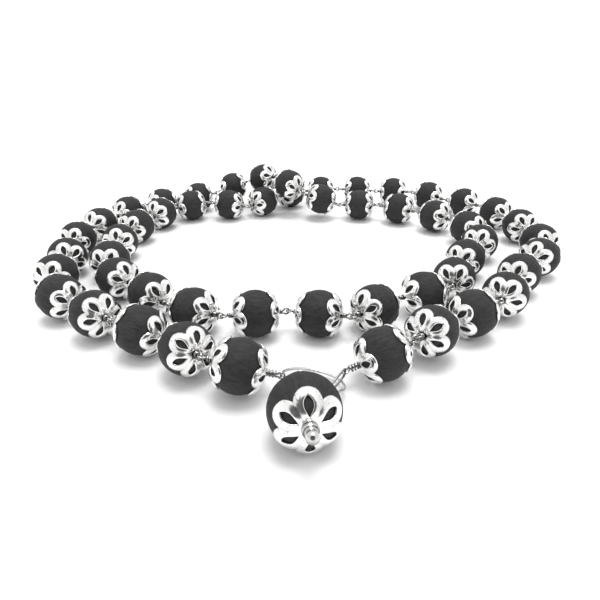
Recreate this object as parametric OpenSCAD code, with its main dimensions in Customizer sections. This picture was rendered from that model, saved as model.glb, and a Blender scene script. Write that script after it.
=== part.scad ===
// Mala of round wooden beads with pierced silver caps, laid in two turns on a table.
// Every bead is threaded on its own wire, whose two end loops hook into its neighbours' loops.
// The two ends of the string meet at a joining ring behind the larger guru bead.
// Lengths are in millimetres, angles in degrees. +Z is up, +X is right and -Y is the front.

/* [Beads] */
// Diameter of a string bead
bead_d = 8; // [7.6:0.1:8.4]
// Length of a bead along its hole, between its flattened ends, as a share of its diameter
bead_length_share = 0.88; // [0.86:0.005:0.92]
// Diameter of the guru bead
guru_d = 9.3; // [9:0.1:10]
// Diameter of the drilled hole
bore_d = 1; // [0.8:0.1:1.2]

/* [Caps] */
// Thickness of the silver sheet
cap_sheet = 0.28; // [0.2:0.02:0.34]
// Gap between a cap and its bead
cap_gap = 0.1; // [0.1:0.02:0.14]
// Number of petals round a cap
petals = 6; // [5:1:8]
// Angle from the bead's axis to a petal's tip
petal_tip = 62; // [58:1:66]
// Angle from the bead's axis to the notch between two petals
petal_notch = 46; // [44:1:50]
// Angle from the bead's axis to the point of a petal's leaf-shaped hole
leaf_point = 20; // [18:1:24]
// Angle from the bead's axis to the round end of the leaf-shaped hole
leaf_end = 49; // [46:1:52]
// Width of a leaf-shaped hole as a share of the bead's diameter
leaf_width_share = 0.13; // [0.1:0.01:0.14]

/* [Wire] */
// Diameter of the silver wire through a bead
wire_d = 0.32; // [0.28:0.01:0.33]
// Diameter of an end loop, between wire centres
loop_d = 0.98; // [0.96:0.01:1.04]
// Extra length of wrapped wire at each of the string's two ends
end_coil = 0.7; // [0:0.1:1]
// Distance between the places where a bead's two loops hook into the next ones
pitch = 11.1; // [11:0.05:11.3]

/* [Joining ring] */
// Diameter of the joining ring, between wire centres
ring_d = 9; // [8.6:0.1:9.2]
// Diameter of the ring's wire
ring_wire_d = 0.45; // [0.4:0.01:0.46]
// Length of the end hook
hook_length = 6.8; // [6.7:0.1:7.1]
// Width of the end hook, between wire centres
hook_width = 1.2; // [1.16:0.02:1.3]

/* [Hidden] */
$fn = 48;
bead_r = bead_d / 2;
guru_r = guru_d / 2;
wire_r = wire_d / 2;
loop_r = loop_d / 2;
ring_r = ring_d / 2;
ring_wire_r = ring_wire_d / 2;
hook_r = hook_width / 2;
hook_wire_r = 0.18;

// How the string lies: each bead's heading, anticlockwise from +X, from the guru bead's left round to
// its right. The string runs up the outer left to the back, where it crosses over its own second pass.
// It goes once round the inner turn from the right, passes under the crossing and follows the outer
// turn home on the right.
outer_left = [179, 124, 164, 137, 146, 91, 113, 89, 78];
outer_back_left = [60, 37, 30, 16];
crossing_over = [324, 310];
inner_back_right = [3, 348, 333, 308];
inner_right = [294, 242, 233, 251];
inner_front = [194, 222, 163, 194, 155, 136];
inner_left = [141, 95, 100, 72];
inner_back_left = [74, 20, 347];
crossing_under = [46, 46];
outer_back_right = [0, 357, 341, 323, 312];
outer_right = [293, 269, 271, 223, 232];
outer_front_right = [240, 202, 233, 197];
headings = concat(outer_left, outer_back_left, crossing_over, inner_back_right, inner_right, inner_front,
    inner_left, inner_back_left, crossing_under, outer_back_right, outer_right, outer_front_right);
bead_count = len(headings);

// Height of each joint over the centre of a bead that lies flat. Near the joining ring the joints go
// up and down by turns, and elsewhere they rock a little. The three joints round the crossing are
// lifted, so that their link passes over the link below.
rise_from_start = [-0.95, 2, -0.9, 1.3, -0.6, 0.8];
rise_to_end = [0.5, -0.4, 1, -0.6, 2.1, -1.1];
crossing_rise = [3.3, 6.1, 3.3];
crossing_joint = 14;
rocking = 0.3;
function rise(i) =
    i < len(rise_from_start) ? rise_from_start[i]
    : i > bead_count - len(rise_to_end) ? rise_to_end[i - bead_count + len(rise_to_end) - 1]
    : abs(i - crossing_joint) <= 1 ? crossing_rise[i - crossing_joint + 1]
    : (i % 2 == 0) == (i < crossing_joint) ? rocking : -rocking;

// Each joint lies one pitch from the last, along the bead's heading.
function climb(i) = rise(i + 1) - rise(i);
function stride(i) = sqrt(pitch * pitch - climb(i) * climb(i));
function next_joint(p, i) = p + [stride(i) * cos(headings[i]), stride(i) * sin(headings[i]), climb(i)];
joints = [
    for (i = 0, p = [0, 0, rise(0)]; i <= bead_count; p = i < bead_count ? next_joint(p, i) : p, i = i + 1) p
];
function along(i) = (joints[i + 1] - joints[i]) / pitch;
function elevation(i) = asin(climb(i) / pitch);

// Two wires that meet at a joint bend in one plane. The arriving wire's loop lies in that plane and
// the leaving wire's loop stands across it, so that the pair can bend freely. This is the plane's
// normal, and the angle by which bead i's wire turns it out of the upright.
function bend_normal(j) =
    let (n = j == 0 || j == bead_count ? [0, 0, 0] : cross(along(j - 1), along(j)))
    norm(n) < 0.1 ? [0, 0, 1] : n * sign(n.z) / norm(n);
function lean(i, j) =
    let (side = [-sin(headings[i]), cos(headings[i]), 0])
    atan2(-bend_normal(j) * side, bend_normal(j) * cross(along(i), side));

// The arriving loop's centre lies this far short of the joint, and the leaving one a radius past it.
hook_in = 0.05;
bead_at = (pitch + loop_r - hook_in) / 2;
function bead_centre(i) = joints[i] + bead_at * along(i);

// Angle that half the width of a leaf-shaped hole takes up, and how wide its pointed end starts as a
// share of its round end
leaf_round = asin(leaf_width_share);
leaf_taper_start = 0.97;

// Half length of a bead, and a cap's inner and outer height at its pole
function bead_half(d) = d * bead_length_share / 2;
function pole_inside(d) = bead_half(d) + cap_gap;
function pole_outside(d) = pole_inside(d) + cap_sheet;

// The wire wrapped round its own stem between a loop and a cap: how far it lies from the stem's
// axis, how far from the loop's centre it starts, and how deep the grooves between its turns are
wrap_r = wire_r * 1.8;
wrap_from = loop_r + wire_r + 0.02;
wrap_core_r = wrap_r - 0.02;
wrap_turn_share = 0.98;
wrap_turns = 2;
end_wrap_turns = 4;
guru_wrap_turns = 3;

// The stem is a little thinner than the loops, so that no two of its faces only touch.
stem_r = wire_r * 0.96;

// The first bead's upright loop holds the joining ring at its left. From there the ring leans down
// to the right, and it tilts down to the back because the guru bead's loop lifts its front.
ring_lean = 11;
first_loop = joints[0] + (loop_r - end_coil) * along(0);
ring_centre = first_loop + ring_r * [cos(ring_lean), 0, -sin(ring_lean)];

// The guru bead rests on the table with its axis turned right of the front and tipped up.
guru_turn = 8;
guru_tip = 10.5;
guru_axis = [sin(guru_turn) * cos(guru_tip), -cos(guru_turn) * cos(guru_tip), sin(guru_tip)];
guru_loop_r = 0.7;
guru_wrap = 0.55;
guru_loop_at = pole_outside(guru_d) + cap_gap + guru_wrap + guru_loop_r;
guru_lift = 0.06;
guru_height = guru_r - bead_r + guru_lift;
guru_place = -121;
guru_loop_height = guru_height - guru_loop_at * guru_axis.z;
ring_drop = ring_centre.z - ring_r * cos(guru_place) * sin(ring_lean) - guru_loop_height;
ring_tilt = asin(ring_drop / (ring_r * sin(guru_place) * cos(ring_lean)));
ring_across = [cos(ring_lean), 0, -sin(ring_lean)];
ring_back = [-sin(ring_lean) * sin(ring_tilt), cos(ring_tilt), -cos(ring_lean) * sin(ring_tilt)];
function on_ring(a) = ring_centre + ring_r * (cos(a) * ring_across + sin(a) * ring_back);
guru_loop = on_ring(guru_place);
guru_centre = guru_loop + guru_loop_at * guru_axis;

// The ball of the head pin, sunk a little into the two steps of the collar behind it
ball_r = 0.85;
ball_sunk = 0.17;
collar_r = [1.05, 0.8];
collar_step = 0.4;
ball_at = pole_outside(guru_d) + cap_gap + len(collar_r) * collar_step + ball_r - ball_sunk;

// The end hook runs from the last bead's flat loop over the ring's right side to the ring's front,
// which passes through it.
hook_place = -70;
hook_from = joints[bead_count] + (end_coil - hook_in) * along(bead_count - 1);
hook_to = on_ring(hook_place);
hook_way = (hook_to - hook_from) / norm(hook_to - hook_from);
hook_heading = atan2(hook_way.y, hook_way.x);
hook_slope = asin(hook_way.z);

// The whole object is centred on the origin and stands on the plane z = 0.
cap_r = bead_r + cap_gap + cap_sheet;
function reach(c) = max(bead_r, cap_r * cos(max(0, acos(min(1, abs(c))) - petal_tip)));
beads_range = [for (i = [0:bead_count - 1]) i];
left = min([for (i = beads_range) bead_centre(i).x - reach(along(i).x)]);
right = max([for (i = beads_range) bead_centre(i).x + reach(along(i).x)]);
back = max([for (i = beads_range) bead_centre(i).y + reach(along(i).y)]);
front = (guru_centre + ball_at * guru_axis).y - ball_r;
to_origin = [-(left + right) / 2, -(front + back) / 2, bead_r + rocking * (2 * bead_at / pitch - 1)];

// Places children with their own x axis along bead i's wire, starting from its first joint.
module on_wire(i) {
    translate(to_origin + joints[i]) rotate([0, -elevation(i), headings[i]]) children();
}

module on_guru() {
    translate(to_origin + guru_centre) rotate([0, -guru_tip, guru_turn - 90]) children();
}

// A round bead, slightly flattened where it is drilled through along x
module drilled_bead(d) {
    rotate([0, 90, 0]) rotate_extrude() intersection() {
        circle(d = d);
        translate([bore_d / 2, -bead_half(d)]) square([d, 2 * bead_half(d)]);
    }
}

// A cap's sheet before its rim is cut: a shell over the bead, flat on its end, opening along x
module sheet(d) {
    inside = d / 2 + cap_gap;
    rotate([0, 90, 0]) rotate_extrude() difference() {
        intersection() {
            circle(inside + cap_sheet);
            translate([bore_d / 2, 0]) square([d, pole_outside(d)]);
        }
        intersection() {
            circle(inside);
            translate([-d, -d]) square([2 * d, d + pole_inside(d)]);
        }
    }
}

// A ball centred halfway through the sheet at the pole, which is +x. It cuts the sheet nearly
// square, at the given angle all round.
module ball_at_pole(d, angle) {
    middle = d / 2 + cap_gap + cap_sheet / 2;
    translate([middle, 0, 0]) sphere(2 * middle * sin(angle / 2));
}

// A petal's round tip is centred at this angle from the pole, so that petals meet at the notches.
petal_rise = cos(petal_notch) - cos(petal_tip);
petal_angle = atan(petal_rise / (sin(petal_tip) - sin(petal_notch) * cos(180 / petals)));

// A leaf-shaped hole along z, round outwards (-x) and pointed towards the pole (+x)
module leaf_hole(d) {
    round_r = leaf_width_share * d / 2;
    point = d / 2 * tan(leaf_end - leaf_round - leaf_point);
    taper_r = round_r * leaf_taper_start;
    linear_extrude(d) {
        circle(round_r);
        polygon([[0, -taper_r], [point, 0], [0, taper_r]]);
    }
}

// A pierced cap with a scalloped rim, over the bead's +x end
module cap(d, pierced) {
    difference() {
        intersection() {
            sheet(d);
            union() {
                ball_at_pole(d, petal_angle);
                for (p = [0:petals - 1])
                    rotate([p * 360 / petals, 0, 0]) rotate([0, -petal_angle, 0])
                        ball_at_pole(d, petal_tip - petal_angle);
            }
        }
        if (pierced) for (p = [0:petals - 1])
            rotate([p * 360 / petals, 0, 0]) rotate([0, 90 - leaf_end + leaf_round, 0]) leaf_hole(d);
    }
}

// Both caps of a bead, each turned on its axis by its own angle
module cap_pair(d, pierced, turns) {
    rotate([turns[0], 0, 0]) cap(d, pierced);
    rotate([turns[1], 0, 0]) mirror([1, 0, 0]) cap(d, pierced);
}

// Half section of a wrap from one place to another: turns of wire side by side over a core
module wrap_section(from, to, turns) {
    step = (to - from) / turns;
    translate([0, from]) square([wrap_core_r, to - from]);
    for (t = [0:turns - 1])
        translate([wrap_r, from + step * (t + 0.5)]) circle(step / 2 * wrap_turn_share);
}

// A closed round loop of wire in the x-y plane
module wire_loop(radius, thickness) {
    rotate_extrude() translate([radius, 0]) circle(thickness);
}

// One bead's wire along x: a straight stem, a wrap outside each cap and a loop at each end
module bead_wire(i) {
    first_at = loop_r - (i == 0 ? end_coil : 0);
    last_at = pitch - hook_in + (i == bead_count - 1 ? end_coil : 0);
    cap_end = pole_outside(bead_d) + cap_gap;
    rotate([0, 90, 0]) rotate_extrude() {
        translate([0, first_at + loop_r]) square([stem_r, last_at - first_at - 2 * loop_r]);
        wrap_section(first_at + wrap_from, bead_at - cap_end, i == 0 ? end_wrap_turns : wrap_turns);
        wrap_section(
            bead_at + cap_end, last_at - wrap_from, i == bead_count - 1 ? end_wrap_turns : wrap_turns
        );
    }
    translate([first_at, 0, 0]) rotate([90 + lean(i, i), 0, 0]) wire_loop(loop_r, wire_r);
    translate([last_at, 0, 0]) rotate([lean(i, i + 1), 0, 0]) wire_loop(loop_r, wire_r);
}

// The caps of three beads are pierced on each side of the guru bead, and in the middle of the inner
// turn's front.
pierced_run = 3;
front_middle = 25;
function pierced(i) =
    i < pierced_run || i >= bead_count - pierced_run || 2 * abs(i - front_middle) < pierced_run;

// How far the caps near the front are turned on their beads, at the bead's end and at its start.
// The other caps are turned by uneven steps.
front_turns = [
    // bead, end, start
    [0, 30, 44],
    [1, 47, 21],
    [2, 34, 42],
    [3, 21, 33],
    [4, 8, 10],
    [22, 37, 9],
    [23, 30, 38],
    [24, 8, 7],
    [25, 48, 25],
    [26, 36, 5],
    [27, 22, 25],
    [28, 9, 38],
    [48, 30, 12],
    [49, 20, 41],
    [50, 16, 10],
    [51, 3, 39],
];
function cap_turns(i) =
    let (found = [for (row = front_turns) if (row[0] == i) [row[1], row[2]]])
    len(found) > 0 ? found[0] : [i * 47 % 60, i * 29 % 60];

module beads() {
    color("dimgray") for (i = beads_range) on_wire(i) translate([bead_at, 0, 0]) drilled_bead(bead_d);
}

module bead_caps(from, to) {
    color("gainsboro") for (i = [from:to]) on_wire(i)
        translate([bead_at, 0, 0]) cap_pair(bead_d, pierced(i), cap_turns(i));
}

module bead_caps_first_half() {
    bead_caps(0, floor(bead_count / 2) - 1);
}

module bead_caps_second_half() {
    bead_caps(floor(bead_count / 2), bead_count - 1);
}

module wire_links() {
    color("silver") for (i = beads_range) on_wire(i) bead_wire(i);
}

module guru_bead() {
    color("dimgray") on_guru() drilled_bead(guru_d);
}

module guru_caps() {
    color("gainsboro") on_guru() cap_pair(guru_d, true, [0, 0]);
}

// Head pin: ball and stepped collar in front, stem through the bead, wrap and loop behind
module guru_pin() {
    cap_end = pole_outside(guru_d) + cap_gap;
    color("silver") on_guru() {
        rotate([0, 90, 0]) rotate_extrude() {
            translate([0, -cap_end - guru_wrap]) square([wire_r, cap_end + guru_wrap + ball_at]);
            wrap_section(-cap_end - guru_wrap, -cap_end, guru_wrap_turns);
            for (s = [0:len(collar_r) - 1])
                translate([0, cap_end + s * collar_step]) square([collar_r[s], collar_step]);
            intersection() {
                translate([0, ball_at]) circle(ball_r);
                translate([0, ball_at - ball_r]) square(2 * ball_r);
            }
        }
        translate([-guru_loop_at, 0, 0]) rotate([90, 0, 0]) wire_loop(guru_loop_r, wire_r);
    }
}

module joining_ring() {
    color("silver") translate(to_origin + ring_centre) rotate([-ring_tilt, ring_lean, 0])
        wire_loop(ring_r, ring_wire_r);
}

// A long narrow oval of wire along x in the x-z plane, from x = 0
module wire_oval(length, end_r, thickness) {
    straight = length - 2 * end_r;
    rotate([90, 0, 0]) {
        translate([end_r, 0, 0]) rotate([0, 0, 90]) rotate_extrude(angle = 180)
            translate([end_r, 0]) circle(thickness);
        translate([end_r + straight, 0, 0]) rotate([0, 0, -90]) rotate_extrude(angle = 180)
            translate([end_r, 0]) circle(thickness);
        for (side = [-end_r, end_r])
            translate([end_r, side, 0]) rotate([0, 90, 0]) cylinder(r = thickness, h = straight);
    }
}

module end_hook() {
    color("silver") translate(to_origin + hook_from) rotate([0, -hook_slope, hook_heading])
        wire_oval(hook_length, hook_r, hook_wire_r);
}

beads();
bead_caps_first_half();
bead_caps_second_half();
wire_links();
guru_bead();
guru_caps();
guru_pin();
joining_ring();
end_hook();
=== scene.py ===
import math

import bmesh
import bpy
from mathutils import Matrix, Vector


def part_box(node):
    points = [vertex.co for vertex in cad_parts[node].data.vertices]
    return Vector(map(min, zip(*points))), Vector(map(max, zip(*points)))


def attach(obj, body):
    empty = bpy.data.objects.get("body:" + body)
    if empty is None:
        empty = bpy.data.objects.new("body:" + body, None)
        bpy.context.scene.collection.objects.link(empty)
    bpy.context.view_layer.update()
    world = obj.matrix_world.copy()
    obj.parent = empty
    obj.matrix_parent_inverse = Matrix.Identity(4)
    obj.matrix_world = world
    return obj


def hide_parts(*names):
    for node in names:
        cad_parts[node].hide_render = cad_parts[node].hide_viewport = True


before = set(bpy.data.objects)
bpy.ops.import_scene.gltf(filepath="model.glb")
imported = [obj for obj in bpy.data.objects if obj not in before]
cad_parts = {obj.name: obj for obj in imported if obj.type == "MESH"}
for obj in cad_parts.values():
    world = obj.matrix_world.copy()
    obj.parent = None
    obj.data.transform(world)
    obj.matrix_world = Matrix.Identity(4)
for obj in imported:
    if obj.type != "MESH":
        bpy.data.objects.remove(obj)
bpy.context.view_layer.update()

# Beads: 52 rounds of hardwood, turned, flattened and eased where they are drilled, and stained
# charcoal grey. Each is strung on a short wire of its own, which hooks into the next bead's wire.
# A bead is lathed round its hole, and has coordinates of its own, so that its grain is its own.
MM = 0.001
BEAD_D, LENGTH_SHARE, BORE_R, EASING = 8.0, 0.88, 0.5, 0.035
PITCH, LOOP_R, HOOK_IN, END_COIL = 11.1, 0.49, 0.05, 0.7

# How they lie: a heading for each bead, and a height over the beads' centres for each joint where
# two wires hook. Numbers are degrees and millimetres, and a bead's own frame has x along its wire.
headings = [
    179, 124, 164, 137, 146, 91, 113, 89, 78,  # outer left
    60, 37, 30, 16,  # outer back
    324, 310,  # over the crossing
    3, 348, 333, 308,  # inner back
    294, 242, 233, 251,  # inner right
    194, 222, 163, 194, 155, 136,  # inner front
    141, 95, 100, 72,  # inner left
    74, 20, 347,  # inner back
    46, 46,  # under the crossing
    0, 357, 341, 323, 312,  # outer back
    293, 269, 271, 223, 232,  # outer right
    240, 202, 233, 197,  # outer front
]
count = len(headings)
crossing = 14
rise = [0.3 if (j % 2 == 0) == (j < crossing) else -0.3 for j in range(count + 1)]
rise[:6] = [-0.95, 2, -0.9, 1.3, -0.6, 0.8]
rise[crossing - 1 : crossing + 2] = [3.3, 6.1, 3.3]
rise[-6:] = [0.5, -0.4, 1, -0.6, 2.1, -1.1]

joints = [Vector((0, 0, rise[0]))]
for i, heading in enumerate(headings):
    climb = rise[i + 1] - rise[i]
    stride = math.sqrt(PITCH**2 - climb**2)
    way = Vector((math.cos(math.radians(heading)), math.sin(math.radians(heading)), 0))
    joints.append(joints[-1] + stride * way + Vector((0, 0, climb)))
along = [(b - a) / PITCH for a, b in zip(joints, joints[1:])]
bead_at = (PITCH + LOOP_R - HOOK_IN) / 2


def beads_reach(side, axis):
    """Furthest a flattened bead goes along one axis, over all beads, before the string is centred."""
    best = -math.inf
    for joint, rod in zip(joints, along):
        slope = abs(rod[axis])
        over_end = LENGTH_SHARE * slope + math.sqrt((1 - LENGTH_SHARE**2) * (1 - slope**2))
        reach = 1 if slope < LENGTH_SHARE else over_end
        best = max(best, side * (joint + bead_at * rod)[axis] + BEAD_D / 2 * reach)
    return side * best


string_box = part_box("beads")
shift = Vector([string_box[0][k] / MM - beads_reach(-1, k) for k in range(3)])


def bead_frame(i, at=0.0):
    """Placement of bead i's own frame, started a distance along its wire, in metres."""
    return (
        Matrix.Translation((joints[i] + shift + at * along[i]) * MM)
        @ Matrix.Rotation(math.radians(headings[i]), 4, "Z")
        @ Matrix.Rotation(-math.asin(along[i].z), 4, "Y")
        @ Matrix.Scale(MM, 4)
    )


def bead_mesh(d, arc_steps, sides):
    half, eased_r = LENGTH_SHARE / 2 * d, EASING * d
    end = math.acos(half / (d / 2))
    flat_r = (d / 2) * math.sin(end) - eased_r
    arc_start = end + 0.06
    outline = [(-half, BORE_R), (-half, flat_r)]
    for k in range(arc_steps + 1):
        angle = math.pi - arc_start - (math.pi - 2 * arc_start) * k / arc_steps
        outline.append((d / 2 * math.cos(angle), d / 2 * math.sin(angle)))
    outline += [(half, flat_r), (half, BORE_R)]
    bm = bmesh.new()
    verts = [bm.verts.new((x, 0, r)) for x, r in outline]
    edges = [bm.edges.new(pair) for pair in zip(verts, verts[1:] + verts[:1])]
    bmesh.ops.spin(
        bm, geom=verts + edges, axis=(1, 0, 0), cent=(0, 0, 0), angle=2 * math.pi, steps=sides, use_merge=True
    )
    bmesh.ops.remove_doubles(bm, verts=bm.verts, dist=0.001)
    bmesh.ops.recalc_face_normals(bm, faces=bm.faces)
    mesh = bpy.data.meshes.new("bead")
    bm.to_mesh(mesh)
    bm.free()
    return mesh


def add_copy(bm, mesh, placement):
    """Adds a placed copy of a mesh to a bmesh and returns its vertices."""
    first = len(bm.verts)
    placed = mesh.copy()
    placed.transform(placement)
    bm.from_mesh(placed)
    bpy.data.meshes.remove(placed)
    bm.verts.ensure_lookup_table()
    return bm.verts[first:]


def show(name, bm, finish, slot, *nodes):
    """Makes a smooth piece of the object from a bmesh. It stands for the named CAD nodes."""
    mesh = bpy.data.meshes.new(name)
    for face in bm.faces:
        face.smooth = True
    bm.to_mesh(mesh)
    bm.free()
    mesh.materials.append(finish)
    piece = bpy.data.objects.new(name, mesh)
    bpy.context.collection.objects.link(piece)
    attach(piece, "root")
    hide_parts(*nodes)


class Shade:
    """One output of a node. Arithmetic on it adds Math nodes."""

    def __init__(self, tree, socket):
        self.tree, self.socket = tree, socket

    def combine(self, operation, a, b):
        return node(self.tree, "ShaderNodeMath", {"operation": operation}, {0: a, 1: b})

    def __add__(self, other):
        return self.combine("ADD", self, other)

    def __sub__(self, other):
        return self.combine("SUBTRACT", self, other)

    def __rsub__(self, other):
        return self.combine("SUBTRACT", other, self)

    def __mul__(self, other):
        return self.combine("MULTIPLY", self, other)

    def __pow__(self, other):
        return self.combine("POWER", self, other)

    __radd__, __rmul__ = __add__, __mul__


def node(tree, kind, settings, sockets, output=0):
    """Adds a node, sets it up, and links or fills its sockets, which go by name or by number."""
    made = tree.nodes.new(kind)
    for name, value in settings.items():
        setattr(made, name, value)
    for key, value in sockets.items():
        if isinstance(value, Shade):
            tree.links.new(value.socket, made.inputs[key])
        else:
            made.inputs[key].default_value = value
    return Shade(tree, made.outputs[output]) if made.outputs else None


def material(name):
    made = bpy.data.materials.new(name)
    made.use_nodes = True
    made.node_tree.nodes.clear()
    return made, made.node_tree


wood, tree = material("charcoal_wood")
dark_grain, light_grain = (0.0082, 0.008, 0.0082, 1), (0.045, 0.0442, 0.045, 1)
own = node(tree, "ShaderNodeAttribute", {"attribute_name": "own_place"}, {}, 1)
stretched = node(tree, "ShaderNodeMapping", {}, {"Vector": own, "Scale": (0.22, 1, 1)})
grain_look = {"Vector": stretched, "Scale": 2.4, "Detail": 5.0, "Roughness": 0.6, "Distortion": 1.2}
grain = node(tree, "ShaderNodeTexNoise", {}, grain_look)
ripple = node(tree, "ShaderNodeTexNoise", {}, {"Vector": own, "Scale": 0.9, "Detail": 2.0})
tones = {"Factor": grain * 1.5 - 0.25, 6: dark_grain, 7: light_grain}
tone = node(tree, "ShaderNodeMix", {"data_type": "RGBA"}, tones, 2)
height = grain * 0.6 + ripple
bump = node(tree, "ShaderNodeBump", {}, {"Strength": 0.8, "Distance": 0.00015, "Height": height})
stain = {"Base Color": tone, "Roughness": 0.62, "Normal": bump, "Specular IOR Level": 0.2}
stained = node(tree, "ShaderNodeBsdfPrincipled", {}, stain)
node(tree, "ShaderNodeOutputMaterial", {}, {"Surface": stained})

bm = bmesh.new()
own_place = bm.verts.layers.float_vector.new("own_place")
bead = bead_mesh(BEAD_D, 18, 40)
for i in range(count):
    placement = bead_frame(i, bead_at)
    inverse = placement.inverted()
    for v in add_copy(bm, bead, placement):
        v[own_place] = inverse @ v.co + Vector((i * 17.3, i * 5.1, 0))
show("beads_turned", bm, wood, "dark_wood", "beads")

# The guru bead: the same wood, turned larger. A head pin through it hangs it on the joining ring,
# in front of the string, with its axis turned to the right and tipped up.
GURU_D = 9.3
guru_turn, guru_tip = math.radians(8), math.radians(10.5)
guru_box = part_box("guru_bead")
guru_frame = (
    Matrix.Translation((Vector(guru_box[0]) + Vector(guru_box[1])) / 2)
    @ Matrix.Rotation(guru_turn - math.pi / 2, 4, "Z")
    @ Matrix.Rotation(-guru_tip, 4, "Y")
    @ Matrix.Scale(MM, 4)
)
bm = bmesh.new()
own_place = bm.verts.layers.float_vector.new("own_place")
inverse = guru_frame.inverted()
for v in add_copy(bm, bead_mesh(GURU_D, 40, 96), guru_frame):
    v[own_place] = inverse @ v.co + Vector((3, 40, 0))
show("guru_turned", bm, wood, "dark_wood", "guru_bead")

# Caps: thin silver sheet, domed into six petals, each pierced by a leaf-shaped hole, and pressed
# over both ends of a bead. The sheet is bright, and painted darker as shade in the valleys between
# petals and on its underside and cut edges.
CAP_GAP, SHEET = 0.1, 0.28


def cap_mesh(d, pole_steps, valley_steps, rim_steps, rings, valley=0.08, tip_degrees=62, doming=0.38):
    """One petal is a band of quads round its leaf hole, from the hole's edge out to the rim, the two
    valleys and the small ring at the pole. It is copied five times round the pole, which is +x."""
    off_wood, least_wall, rim_roll, lip_roll, leaf_steps = 0.08, 0.08, 0.09, 0.04, 200
    tip, notch, pole_edge, sector = map(math.radians, (tip_degrees, 46, 8, 30))
    leaf_point, leaf_end, leaf_half = map(math.radians, (18.5, 49.5, 7.5))

    # The rim's arc belongs to a round petal tip that is centred at this angle from the pole.
    drop = math.cos(notch) - math.cos(tip)
    centre = math.atan2(drop, math.sin(tip) - math.sin(notch) * math.cos(sector))
    spread = tip - centre

    def rim_point(bearing):
        ahead = math.sin(spread) * math.cos(bearing)
        out = math.cos(spread) * math.sin(centre) + ahead * math.cos(centre)
        up = math.cos(spread) * math.cos(centre) - ahead * math.sin(centre)
        return math.acos(up), math.atan2(math.sin(spread) * math.sin(bearing), out)

    # The bearing from the tip's centre at which its arc runs into the valley, found by halving
    low, high = math.radians(40), math.radians(150)
    for _ in range(40):
        middle = (low + high) / 2
        down, round_pole = rim_point(middle)
        low, high = (middle, high) if round_pole < sector and down > notch else (low, middle)
    edge = [(pole_edge, sector * k / pole_steps) for k in range(pole_steps)]
    edge += [(pole_edge + (notch - pole_edge) * k / valley_steps, sector) for k in range(valley_steps)]
    edge += [rim_point(low * (1 - k / rim_steps)) for k in range(rim_steps + 1)]

    # Half the leaf hole's outline, taken at the shares of its run that face the edge's points
    leaf = []
    for k in range(leaf_steps + 1):
        half_width = leaf_half * math.sin(math.pi * (k / leaf_steps) ** 1.3) ** 0.8
        leaf.append((leaf_point + (leaf_end - leaf_point) * k / leaf_steps, half_width))
    run = [0]
    for a, b in zip(leaf, leaf[1:]):
        run.append(run[-1] + math.dist(a, b))
    at_pole, at_valley = 0.16, 0.42
    at_rim = 1 - at_pole - at_valley
    shares = [at_pole * k / pole_steps for k in range(pole_steps)]
    shares += [at_pole + at_valley * k / valley_steps for k in range(valley_steps)]
    shares += [at_pole + at_valley + at_rim * k / rim_steps for k in range(rim_steps + 1)]
    hole = [leaf[min(range(len(leaf)), key=lambda n: abs(run[n] - share * run[-1]))] for share in shares]

    def flat(theta, phi):
        return Vector((theta * math.cos(phi), theta * math.sin(phi)))

    half_band = [(Vector(h), flat(*e)) for h, e in zip(hole, edge)]
    band = half_band + [(Vector((h.x, -h.y)), Vector((e.x, -e.y))) for h, e in half_band[-2:0:-1]]
    n, rim_from = len(band), pole_steps + valley_steps
    on_rim = set(range(rim_from, rim_from + 2 * rim_steps + 1))
    on_pole = set(range(pole_steps + 1)) | set(range(n - pole_steps, n))

    def sheet_height(off_side, off_end, theta):
        """Distance from the bead's centre: round over its side, easing into the flat at its end."""
        round_part, flat_part = d / 2 + off_side, (LENGTH_SHARE / 2 * d + off_end) / math.cos(theta)
        return (round_part**-24 + flat_part**-24) ** (-1 / 24)

    bm = bmesh.new()
    painted_shade = bm.verts.layers.float.new("painted_shade")
    outer, inner = {}, {}
    for k, (h, e) in enumerate(band):
        for j, ring in enumerate(rings):
            place = h.lerp(e, ring)
            theta, phi = place.length, math.atan2(place.y, place.x)
            off_valley = max(0.0, 1 - abs(phi) / sector)
            fade = min(1.0, max(0.0, (math.degrees(theta) - 10) / 22))
            dip = valley * fade * (1 - math.sin(math.pi / 2 * off_valley)) ** 1.3
            rolled = max(0.0, (ring - 0.7) / 0.3) if k in on_rim else 0.0
            lip = max(0.0, 1 - ring / 0.25)
            top = sheet_height(doming, CAP_GAP + SHEET, theta)
            top -= dip + rim_roll * rolled**2 + lip_roll * lip
            under = min(sheet_height(off_wood, off_wood, theta), top - least_wall)
            out = math.sin(theta)
            way = Vector((math.cos(theta), -out * math.sin(phi), out * math.cos(phi)))
            outer[k, j] = bm.verts.new(way * top)
            inner[k, j] = bm.verts.new(way * under)
            # Painted shade: darker in the valleys between petals, and on the sheet's underside and cut edges.
            outer[k, j][painted_shade] = 0.5 * fade * (1 - off_valley) ** 2
            inner[k, j][painted_shade] = 0.75
    last = len(rings) - 1
    for k in range(n):
        m = (k + 1) % n
        for j in range(last):
            bm.faces.new((outer[k, j], outer[k, j + 1], outer[m, j + 1], outer[m, j]))
            bm.faces.new((inner[k, j], inner[m, j], inner[m, j + 1], inner[k, j + 1]))
        bm.faces.new((outer[k, 0], outer[m, 0], inner[m, 0], inner[k, 0]))
        if {k, m} <= on_rim or {k, m} <= on_pole:
            bm.faces.new((outer[k, last], inner[k, last], inner[m, last], outer[m, last]))
    petal = bm.verts[:] + bm.edges[:] + bm.faces[:]
    for p in range(1, 6):
        made = bmesh.ops.duplicate(bm, geom=petal)["geom"]
        turned = [g for g in made if isinstance(g, bmesh.types.BMVert)]
        bmesh.ops.rotate(bm, verts=turned, cent=(0, 0, 0), matrix=Matrix.Rotation(p * math.pi / 3, 3, "X"))
    bmesh.ops.remove_doubles(bm, verts=bm.verts, dist=0.002)
    bmesh.ops.recalc_face_normals(bm, faces=bm.faces)
    mesh = bpy.data.meshes.new("cap")
    bm.to_mesh(mesh)
    bm.free()
    return mesh


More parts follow.
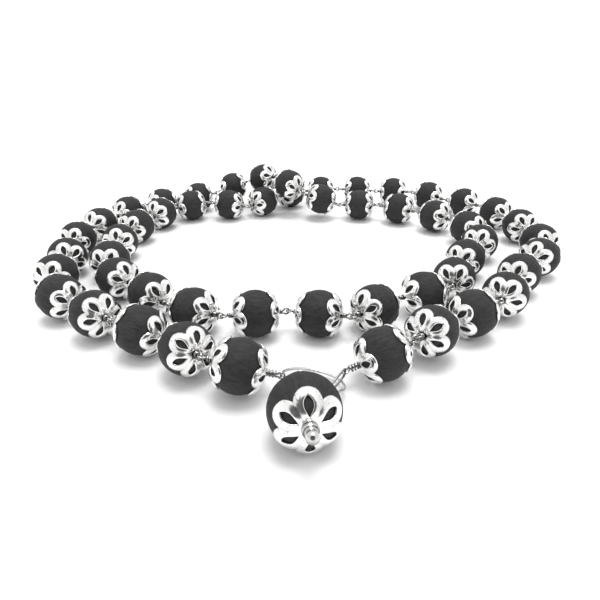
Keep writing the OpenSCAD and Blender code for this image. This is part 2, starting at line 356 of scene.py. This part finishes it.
def mirrored(mesh):
    """The same cap for a bead's other end."""
    bm = bmesh.new()
    bm.from_mesh(mesh)
    bmesh.ops.scale(bm, vec=(-1, 1, 1), verts=bm.verts)
    bmesh.ops.reverse_faces(bm, faces=bm.faces)
    other = bpy.data.meshes.new("cap_mirrored")
    bm.to_mesh(other)
    bm.free()
    return other


def silver_finish(name, bright, painted_shade_depth):
    """Polished silver with fine pits and painted shade: darker and rougher where the piece's painted shade
    attribute is high.
    """
    made, tree = material(name)
    painted_shade = node(tree, "ShaderNodeAttribute", {"attribute_name": "painted_shade"}, {}, 2)
    place = node(tree, "ShaderNodeTexCoord", {}, {}, 3)
    worn = node(tree, "ShaderNodeTexNoise", {}, {"Vector": place, "Scale": 900.0, "Detail": 3.0})
    pits = node(tree, "ShaderNodeTexNoise", {}, {"Vector": place, "Scale": 3500.0, "Detail": 1.0})
    # The colour holds the painted shade from the attribute, together with the fine pits.
    light = (1 - painted_shade * painted_shade_depth) * (1 - pits**10 * 8) * bright
    warm_white = {"Red": light, "Green": light * 0.995, "Blue": light * 0.985}
    shine = node(tree, "ShaderNodeCombineColor", {}, warm_white)
    dent = node(tree, "ShaderNodeBump", {}, {"Strength": 0.25, "Distance": 0.00004, "Height": worn})
    rough = 0.1 + worn * 0.1 + painted_shade * 0.2
    metal = {"Base Color": shine, "Metallic": 1.0, "Roughness": rough, "Normal": dent}
    polish = node(tree, "ShaderNodeBsdfPrincipled", {}, metal)
    node(tree, "ShaderNodeOutputMaterial", {}, {"Surface": polish})
    return made


# How far the caps near the front are turned round their wire, at a bead's end and at its start.
# The other caps are turned by uneven steps.
front_turns = {
    0: (30, 44), 1: (47, 21), 2: (34, 42), 3: (21, 33), 4: (8, 10),
    22: (37, 9), 23: (30, 38), 24: (8, 7), 25: (48, 25), 26: (36, 5), 27: (22, 25), 28: (9, 38),
    48: (30, 12), 49: (20, 41), 50: (16, 10), 51: (3, 39),
}
cap_silver = silver_finish("cap_silver", 0.93, 0.5)
cap = cap_mesh(BEAD_D, 2, 3, 4, (0, 0.2, 0.7, 1))
other_cap = mirrored(cap)
bm = bmesh.new()
bm.verts.layers.float.new("painted_shade")
for i in range(count):
    placement = bead_frame(i, bead_at)
    at_end, at_start = front_turns.get(i, (i * 47 % 60, i * 29 % 60))
    add_copy(bm, cap, placement @ Matrix.Rotation(math.radians(at_end), 4, "X"))
    add_copy(bm, other_cap, placement @ Matrix.Rotation(math.radians(at_start), 4, "X"))
show("caps_pierced", bm, cap_silver, "silver", "bead_caps_first_half", "bead_caps_second_half")

# The guru bead's caps: the same silver work, larger and finer. The rear cap lies flatter and ends
# sooner, because nothing of it stands over the bead when seen from the front.
guru_rings = (0, 0.08, 0.2, 0.45, 0.7, 0.85, 1)
front_cap = cap_mesh(GURU_D, 4, 8, 12, guru_rings, valley=0.1)
rear_cap = mirrored(cap_mesh(GURU_D, 4, 8, 12, guru_rings, valley=0.04, tip_degrees=56, doming=0.24))
bm = bmesh.new()
bm.verts.layers.float.new("painted_shade")
add_copy(bm, front_cap, guru_frame)
add_copy(bm, rear_cap, guru_frame)
show("guru_caps_pierced", bm, cap_silver, "silver", "guru_caps")

# Wires: one length of silver wire runs through each bead. Outside each cap it is bent by hand into a
# loop and wound back round itself. Neighbouring loops stand across each other in the plane they
# bend in. The wire is painted bright on top and painted darker on its flanks and underneath, as shade.
WIRE_R = 0.16
TIGHT, LOOSE = (2, 0.32), (3, 0.42)


def sweep(bm, path, radius, sides, closed=False):
    """Extrudes a round wire from place to place along a path."""
    painted_shade = bm.verts.layers.float["painted_shade"]
    last, side, places = len(path) - 1, None, []
    for k, p in enumerate(path):
        before = path[k - 1] if closed else path[max(0, k - 1)]
        after = path[(k + 1) % len(path)] if closed else path[min(last, k + 1)]
        way = (after - before).normalized()
        side = way.orthogonal() if side is None else side
        side = (side - side.dot(way) * way).normalized()
        places.append(Matrix.Translation(p) @ Matrix((way.cross(side), side, way)).transposed().to_4x4())
    disc = bmesh.ops.create_circle(bm, cap_ends=True, segments=sides, radius=radius, matrix=places[0])
    verts, start_face = disc["verts"], disc["verts"][0].link_faces[0]
    edges = list({edge for v in verts for edge in v.link_edges})
    rings = [verts]
    for here, there in zip(places, places[1:] + places[:1] * closed):
        made = bmesh.ops.extrude_edge_only(bm, edges=edges)["geom"]
        verts = [g for g in made if isinstance(g, bmesh.types.BMVert)]
        edges = [g for g in made if isinstance(g, bmesh.types.BMEdge) and set(g.verts) <= set(verts)]
        bmesh.ops.transform(bm, matrix=there @ here.inverted(), verts=verts)
        rings.append(verts)
    # Painted shade: each ring of the wire is darker on its flanks and underneath than on top.
    for ring, place in zip(rings, places + places[:1] * closed):
        for v in ring:
            v[painted_shade] = min(1, max(0, 1.15 - 1.2 * (v.co.z - place.translation.z) / radius))
    if closed:
        bmesh.ops.delete(bm, geom=[start_face], context="FACES_ONLY")
        bmesh.ops.remove_doubles(bm, verts=rings[0] + rings[-1], dist=0.001)
    else:
        bmesh.ops.edgeloop_fill(bm, edges=edges)


def wound_end(loop_at, cap_at, roll, turns, wound, loop_r, loop_steps=14):
    """A wire's path from its cap, round a loop and back round its own stem, along +x or -x."""
    out = 1 if loop_at > cap_at else -1
    up = Vector((0, math.cos(roll), math.sin(roll)))
    side = Vector((0, -math.sin(roll), math.cos(roll)))
    tucked_in, open_from, open_to, per_turn = 0.4, 28, 324, 10
    base = loop_at - out * loop_r
    path = [Vector((cap_at - out * tucked_in, 0, 0)), Vector((base - out * WIRE_R * 1.3, 0, 0))]
    for k in range(loop_steps + 1):
        angle = math.radians(open_from + (open_to - open_from) * k / loop_steps)
        path.append(Vector((loop_at - out * loop_r * math.cos(angle), 0, 0)) + loop_r * math.sin(angle) * up)
    start = base - out * WIRE_R * 1.4
    for k in range(int(turns * per_turn) + 1):
        angle = -math.pi / 2 + 2 * math.pi * k / per_turn
        x = start + (cap_at + out * WIRE_R * 0.2 - start) * k / (turns * per_turn)
        path.append(Vector((x, 0, 0)) + wound * (math.cos(angle) * side + math.sin(angle) * up))
    return path


def bend_normal(j):
    """Normal of the plane in which the two wires at joint j bend, upwards."""
    normal = Vector((0, 0, 0)) if j in (0, count) else along[j - 1].cross(along[j])
    return Vector((0, 0, 1)) if normal.length < 0.1 else normal.normalized() * math.copysign(1, normal.z)


def lean(i, j):
    """How far bead i's wire turns that normal out of the upright."""
    heading = math.radians(headings[i])
    side = Vector((-math.sin(heading), math.cos(heading), 0))
    return math.atan2(-bend_normal(j).dot(side), bend_normal(j).dot(along[i].cross(side)))


# The same silver as the caps, painted darker as shade, for the wires, the pin and the hook.
painted_darker_silver = silver_finish("painted_darker_silver", 0.7, 0.8)
bm = bmesh.new()
bm.verts.layers.float.new("painted_shade")
cap_end = LENGTH_SHARE / 2 * BEAD_D + CAP_GAP + SHEET
for i in range(count):
    at_first, at_last = i == 0, i == count - 1
    first_at = LOOP_R - (END_COIL if at_first else 0)
    last_at = PITCH - HOOK_IN + (END_COIL if at_last else 0)
    across = lean(i, i) + math.pi / 2
    first = wound_end(first_at, bead_at - cap_end, across, *(LOOSE if at_first else TIGHT), LOOP_R)
    last = wound_end(last_at, bead_at + cap_end, lean(i, i + 1), *(LOOSE if at_last else TIGHT), LOOP_R)
    local = bmesh.new()
    local.verts.layers.float.new("painted_shade")
    sweep(local, first[::-1] + last, WIRE_R, 6)
    bmesh.ops.recalc_face_normals(local, faces=local.faces)
    wire = bpy.data.meshes.new("wire")
    local.to_mesh(wire)
    local.free()
    add_copy(bm, wire, bead_frame(i))
show("wires_wound", bm, painted_darker_silver, "silver", "wire_links")

# The head pin: a silver ball soldered on a ringed collar in front of the guru bead, and a wire stem
# through the bead that ends in a wound loop behind. The outline's columns are x, radius and painted shade.
PIN_LOOP_R, PIN_WRAP, BALL_R, BALL_AT = 0.7, 0.55, 0.85, 1.48
guru_end = LENGTH_SHARE / 2 * GURU_D + CAP_GAP + SHEET + CAP_GAP
outline = [
    (0, 0, 1), (0, 0.95, 0.9), (0.05, 1.04, 0.1), (0.14, 1.05, 0), (0.2, 0.93, 1),
    (0.26, 1.03, 0), (0.35, 1.03, 0), (0.4, 0.7, 1), (0.46, 0.78, 0.2), (0.6, 0.8, 0),
    (0.72, 0.76, 0.3), (0.8, 0.58, 1),
]
neck_angle, ball_steps = 136, 17
for k in range(ball_steps + 1):
    angle = math.radians(neck_angle * (1 - k / ball_steps))
    across_ball = max(BALL_R * math.sin(angle), 0.0)
    outline.append((BALL_AT + BALL_R * math.cos(angle), across_ball, 0.8 if k < 2 else 0.1))
bm = bmesh.new()
painted_shade = bm.verts.layers.float.new("painted_shade")
verts = [bm.verts.new((guru_end + x, 0, r)) for x, r, _ in outline]
for v, (_, _, painted_dark) in zip(verts, outline):
    v[painted_shade] = painted_dark
edges = [bm.edges.new(pair) for pair in zip(verts, verts[1:])]
bmesh.ops.spin(
    bm, geom=verts + edges, axis=(1, 0, 0), cent=(0, 0, 0), angle=2 * math.pi, steps=40, use_merge=True
)
bmesh.ops.remove_doubles(bm, verts=bm.verts, dist=0.001)
loop_behind = guru_end + PIN_WRAP + PIN_LOOP_R
stem_and_loop = wound_end(-loop_behind, -guru_end, math.pi / 2, 2.5, 2 * WIRE_R, PIN_LOOP_R, 20)
stem_and_loop[0] = Vector((guru_end + 0.4, 0, 0))
sweep(bm, stem_and_loop, WIRE_R, 10)
bmesh.ops.recalc_face_normals(bm, faces=bm.faces)
bmesh.ops.transform(bm, matrix=guru_frame, verts=bm.verts)
bm.normal_update()
# Painted shade: the pin is darker where its surface faces down.
for v in bm.verts:
    v[painted_shade] = max(v[painted_shade], min(0.8, 0.4 - 1.2 * v.normal.z))
show("guru_pin_turned", bm, painted_darker_silver, "silver", "guru_pin")

# The joining ring: a closed ring of thicker silver wire behind the guru bead, which hangs on it by
# its pin's loop. The ring leans down to the right and tilts down to the back.
RING_R, RING_WIRE_R, ring_steps = 4.5, 0.225, 96
ring_lean, guru_place = math.radians(11), math.radians(-121)
ring_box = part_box("joining_ring")
ring_at = (Vector(ring_box[0]) + Vector(ring_box[1])) / 2 / MM
guru_loop_z = guru_frame.translation.z / MM - loop_behind * math.sin(guru_tip)
drop = ring_at.z - RING_R * math.cos(guru_place) * math.sin(ring_lean) - guru_loop_z
ring_tilt = math.asin(drop / (RING_R * math.sin(guru_place) * math.cos(ring_lean)))
ring_across = Vector((math.cos(ring_lean), 0, -math.sin(ring_lean)))
ring_normal = Vector((math.sin(ring_lean), 0, math.cos(ring_lean)))
ring_back = Vector((0, math.cos(ring_tilt), 0)) - math.sin(ring_tilt) * ring_normal


def on_ring(angle):
    return ring_at + RING_R * (math.cos(angle) * ring_across + math.sin(angle) * ring_back)


bm = bmesh.new()
bm.verts.layers.float.new("painted_shade")
sweep(bm, [on_ring(2 * math.pi * k / ring_steps) for k in range(ring_steps)], RING_WIRE_R, 12, True)
bmesh.ops.recalc_face_normals(bm, faces=bm.faces)
bmesh.ops.scale(bm, vec=(MM, MM, MM), verts=bm.verts)
show("joining_ring_wire", bm, cap_silver, "silver", "joining_ring")

# The end hook: a long narrow oval of soldered silver wire. It runs from the last bead's loop over
# the ring's right side to its front.
HOOK_LENGTH, HOOK_R, HOOK_WIRE_R = 6.8, 0.6, 0.18
hook_place = math.radians(-70)
hook_from = joints[count] + shift + (END_COIL - HOOK_IN) * along[-1]
forward = (on_ring(hook_place) - hook_from).normalized()
upright = (Vector((0, 0, 1)) - forward.z * forward).normalized()
path = []
for end_centre, start in ((HOOK_R, 90), (HOOK_LENGTH - HOOK_R, -90)):
    for k in range(13):
        angle = math.radians(start + 15 * k)
        reach = (end_centre + HOOK_R * math.cos(angle)) * forward
        path.append(hook_from + reach + HOOK_R * math.sin(angle) * upright)
bm = bmesh.new()
bm.verts.layers.float.new("painted_shade")
sweep(bm, path, HOOK_WIRE_R, 10, True)
bmesh.ops.recalc_face_normals(bm, faces=bm.faces)
bmesh.ops.scale(bm, vec=(MM, MM, MM), verts=bm.verts)
show("end_hook_wire", bm, painted_darker_silver, "silver", "end_hook")


# The stage: a white table that runs out of sight under an even white sky. One soft light stands
# overhead, a little behind and to the right. A dark disc behind the lens stands for the camera,
# which polished silver mirrors.
def stage_piece(name, bm, finish_name, grey, roughness):
    mesh = bpy.data.meshes.new(name)
    bm.to_mesh(mesh)
    bm.free()
    finish, tree = material(finish_name)
    plain = {"Base Color": (grey, grey, grey, 1), "Roughness": roughness}
    node(tree, "ShaderNodeOutputMaterial", {}, {"Surface": node(tree, "ShaderNodeBsdfPrincipled", {}, plain)})
    mesh.materials.append(finish)
    piece = bpy.data.objects.new(name, mesh)
    bpy.context.collection.objects.link(piece)
    return piece


bm = bmesh.new()
bmesh.ops.create_grid(bm, x_segments=1, y_segments=1, size=3)
table = stage_piece("table", bm, "white_table", 0.85, 0.7)
table.location.z = -0.0001

world = bpy.data.worlds.new("studio")
bpy.context.scene.world = world
world.use_nodes = True
tree = world.node_tree
tree.nodes.clear()
sky = node(tree, "ShaderNodeBackground", {}, {"Color": (1, 1, 1, 1), "Strength": 1.1})
node(tree, "ShaderNodeOutputWorld", {}, {"Surface": sky})

lamp = bpy.data.lights.new("overhead", "SUN")
lamp.energy, lamp.angle = 1.7, math.radians(28)
overhead = bpy.data.objects.new("overhead", lamp)
overhead.rotation_euler = (math.radians(-5), math.radians(4), 0)
bpy.context.collection.objects.link(overhead)

camera = bpy.data.objects.new("camera", bpy.data.cameras.new("camera"))
bpy.context.collection.objects.link(camera)
bpy.context.scene.camera = camera
camera.data.lens, camera.data.sensor_width = 29.6, 36
camera.data.clip_start, camera.data.clip_end = 0.002, 20
camera.location = (Vector((2.91, -56.16, 39.9)) + shift) * MM
pitch_down, roll = math.radians(27.39), math.radians(-0.49)
camera.rotation_euler = (
    Matrix.Rotation(math.pi / 2 - pitch_down, 3, "X") @ Matrix.Rotation(roll, 3, "Z")
).to_euler()
bpy.context.scene.view_settings.view_transform = "Standard"

bm = bmesh.new()
bmesh.ops.create_circle(bm, cap_ends=True, segments=48, radius=0.045)
lens = stage_piece("lens", bm, "black_lens", 0.08, 0.9)
lens.rotation_euler = camera.rotation_euler
lens.location = camera.location + camera.rotation_euler.to_matrix() @ Vector((0, 0, 0.002))
lens.visible_camera = lens.visible_diffuse = lens.visible_shadow = False
